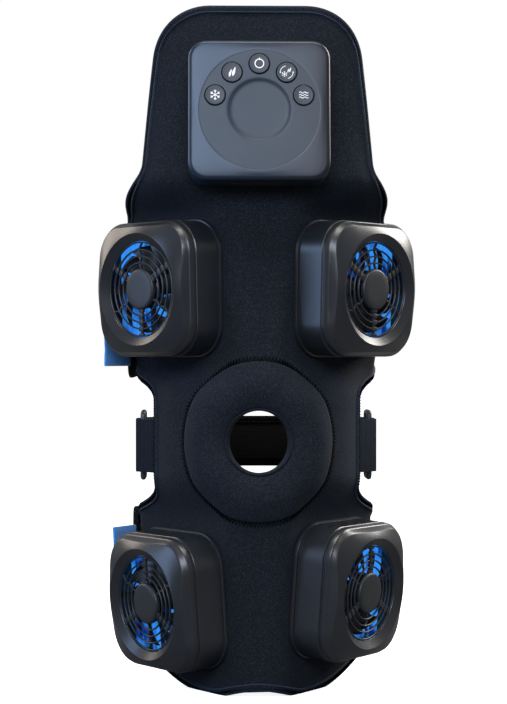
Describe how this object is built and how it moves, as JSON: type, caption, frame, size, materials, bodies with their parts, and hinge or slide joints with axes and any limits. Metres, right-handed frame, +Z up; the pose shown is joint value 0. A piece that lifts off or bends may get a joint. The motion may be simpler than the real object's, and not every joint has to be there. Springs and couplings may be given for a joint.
{
  "type": "hot and cold knee therapy wrap",
  "caption": "Wearable knee wrap with fan-cooled thermal modules, a push-button controller, a padded knee opening and closing straps.",
  "frame": {"origin": "on the leg's axis, level with the middle of the knee opening", "axes": "+Z up along the leg towards the thigh, -Y towards the front of the knee, +X to the right seen from the front"},
  "size_m": [0.1811, 0.1525, 0.3781],
  "materials": {
    "neoprene": "dark navy neoprene with a fine knit face",
    "pad cloth": "the same knit cloth over a foam ring, zigzag stitched",
    "strap neoprene": "black loop-faced neoprene",
    "black webbing": "ribbed elastic webbing",
    "navy webbing": "dark navy webbing, folded and sewn",
    "blue felt": "bright blue brushed felt",
    "hook tape": "black hook tape",
    "grey acetal": "moulded mid grey plastic",
    "module plastic": "dark grey moulded plastic, satin",
    "black plastic": "black moulded plastic, satin",
    "controller plastic": "blue grey metallic moulded plastic, satin",
    "panel plastic": "lighter blue grey metallic plastic",
    "button plastic": "blue grey plastic with a white pictogram",
    "fan plastic": "black moulded plastic",
    "motor steel": "plated steel",
    "blue anodised aluminium": "bright blue anodised extrusion",
    "white ceramic": null,
    "bare aluminium": "bare brushed aluminium",
    "green board": "green laminate",
    "battery wrap": "grey shrink film",
    "black rubber": "black moulded rubber"
  },
  "bodies": {
    "root": {"wrap_shell": "neoprene", "knee_ring_pad": "pad cloth", "knee_strap": "black webbing", "strap_tab_left": "navy webbing", "strap_tab_right": "navy webbing", "controller_base": "black plastic", "controller_cover": "controller plastic", "control_panel": "panel plastic", "circuit_board": "green board", "battery": "battery wrap", "vibration_motor": "motor steel", "charging_port": "bare aluminium", "controller_clamp": "black plastic", "thigh_left_housing": "module plastic", "thigh_left_front_cover": "module plastic", "thigh_left_grille": "module plastic", "thigh_left_fan_motor": "motor steel", "thigh_left_heat_sink": "blue anodised aluminium", "thigh_left_peltier": "white ceramic", "thigh_left_cold_plate": "bare aluminium", "thigh_right_housing": "module plastic", "thigh_right_front_cover": "module plastic", "thigh_right_grille": "module plastic", "thigh_right_fan_motor": "motor steel", "thigh_right_heat_sink": "blue anodised aluminium", "thigh_right_peltier": "white ceramic", "thigh_right_cold_plate": "bare aluminium", "calf_left_housing": "module plastic", "calf_left_front_cover": "module plastic", "calf_left_grille": "module plastic", "calf_left_fan_motor": "motor steel", "calf_left_heat_sink": "blue anodised aluminium", "calf_left_peltier": "white ceramic", "calf_left_cold_plate": "bare aluminium", "calf_right_housing": "module plastic", "calf_right_front_cover": "module plastic", "calf_right_grille": "module plastic", "calf_right_fan_motor": "motor steel", "calf_right_heat_sink": "blue anodised aluminium", "calf_right_peltier": "white ceramic", "calf_right_cold_plate": "bare aluminium"},
    "strap_ring_left_body": {"strap_ring_left": "grey acetal"},
    "strap_ring_right_body": {"strap_ring_right": "grey acetal"},
    "thigh_strap_body": {"thigh_strap": "strap neoprene", "thigh_pull_tab": "blue felt", "thigh_hook_patch": "hook tape"},
    "calf_strap_body": {"calf_strap": "strap neoprene", "calf_pull_tab": "blue felt", "calf_hook_patch": "hook tape"},
    "port_cover_body": {"port_cover": "black rubber"},
    "cold_button_body": {"cold_button": "button plastic"},
    "heat_button_body": {"heat_button": "button plastic"},
    "power_button_body": {"power_button": "button plastic"},
    "contrast_button_body": {"contrast_button": "button plastic"},
    "vibration_button_body": {"vibration_button": "button plastic"},
    "thigh_left_fan_body": {"thigh_left_fan": "fan plastic"},
    "thigh_right_fan_body": {"thigh_right_fan": "fan plastic"},
    "calf_left_fan_body": {"calf_left_fan": "fan plastic"},
    "calf_right_fan_body": {"calf_right_fan": "fan plastic"}
  },
  "joints": [
    {"name": "thigh_left_fan_spin", "type": "hinge", "parent": "root", "child": "thigh_left_fan_body", "pos_m": [-0.04518, -0.01921, 0.0837], "axis": [-0.7287, -0.6843, -0.0283], "continuous": true},
    {"name": "thigh_right_fan_spin", "type": "hinge", "parent": "root", "child": "thigh_right_fan_body", "pos_m": [0.04518, -0.01921, 0.0837], "axis": [0.7287, -0.6843, -0.0283], "continuous": true},
    {"name": "calf_left_fan_spin", "type": "hinge", "parent": "root", "child": "calf_left_fan_body", "pos_m": [-0.04018, -0.0161, -0.0881], "axis": [-0.7972, -0.5986, -0.0784], "continuous": true},
    {"name": "calf_right_fan_spin", "type": "hinge", "parent": "root", "child": "calf_right_fan_body", "pos_m": [0.04037, -0.01658, -0.0825], "axis": [0.7972, -0.5986, -0.078], "continuous": true},
    {"name": "cold_button_press", "type": "slide", "parent": "root", "child": "cold_button_body", "axis": [0, 0.995, -0.0995], "range_m": [0, 0.0008], "stiffness_N_per_m": 400, "springref_m": -0.0005},
    {"name": "heat_button_press", "type": "slide", "parent": "root", "child": "heat_button_body", "axis": [0, 0.995, -0.0995], "range_m": [0, 0.0008], "stiffness_N_per_m": 400, "springref_m": -0.0005},
    {"name": "power_button_press", "type": "slide", "parent": "root", "child": "power_button_body", "axis": [0, 0.995, -0.0995], "range_m": [0, 0.0008], "stiffness_N_per_m": 400, "springref_m": -0.0005},
    {"name": "contrast_button_press", "type": "slide", "parent": "root", "child": "contrast_button_body", "axis": [0, 0.995, -0.0995], "range_m": [0, 0.0008], "stiffness_N_per_m": 400, "springref_m": -0.0005},
    {"name": "vibration_button_press", "type": "slide", "parent": "root", "child": "vibration_button_body", "axis": [0, 0.995, -0.0995], "range_m": [0, 0.0008], "stiffness_N_per_m": 400, "springref_m": -0.0005},
    {"name": "port_cover_hinge", "type": "hinge", "parent": "root", "child": "port_cover_body", "pos_m": [0, -0.05517, 0.13873], "axis": [1, 0, 0], "range_deg": [0, 90]},
    {"name": "strap_ring_left_swing", "type": "hinge", "parent": "root", "child": "strap_ring_left_body", "pos_m": [-0.0645, 0.004, -0.0045], "axis": [0, 0, 1], "range_deg": [-2, 2]},
    {"name": "strap_ring_right_swing", "type": "hinge", "parent": "root", "child": "strap_ring_right_body", "pos_m": [0.0645, 0.004, -0.0045], "axis": [0, 0, 1], "range_deg": [-2, 2]},
    {"name": "thigh_strap_open", "type": "hinge", "parent": "root", "child": "thigh_strap_body", "pos_m": [0.06548, 0.05042, 0.076], "axis": [-0.1882, 0.0179, -0.982], "range_deg": [0, 100]},
    {"name": "calf_strap_open", "type": "hinge", "parent": "root", "child": "calf_strap_body", "pos_m": [0.06294, 0.04305, -0.0765], "axis": [-0.0431, 0.1172, -0.9922], "range_deg": [0, 100]}
  ]
}
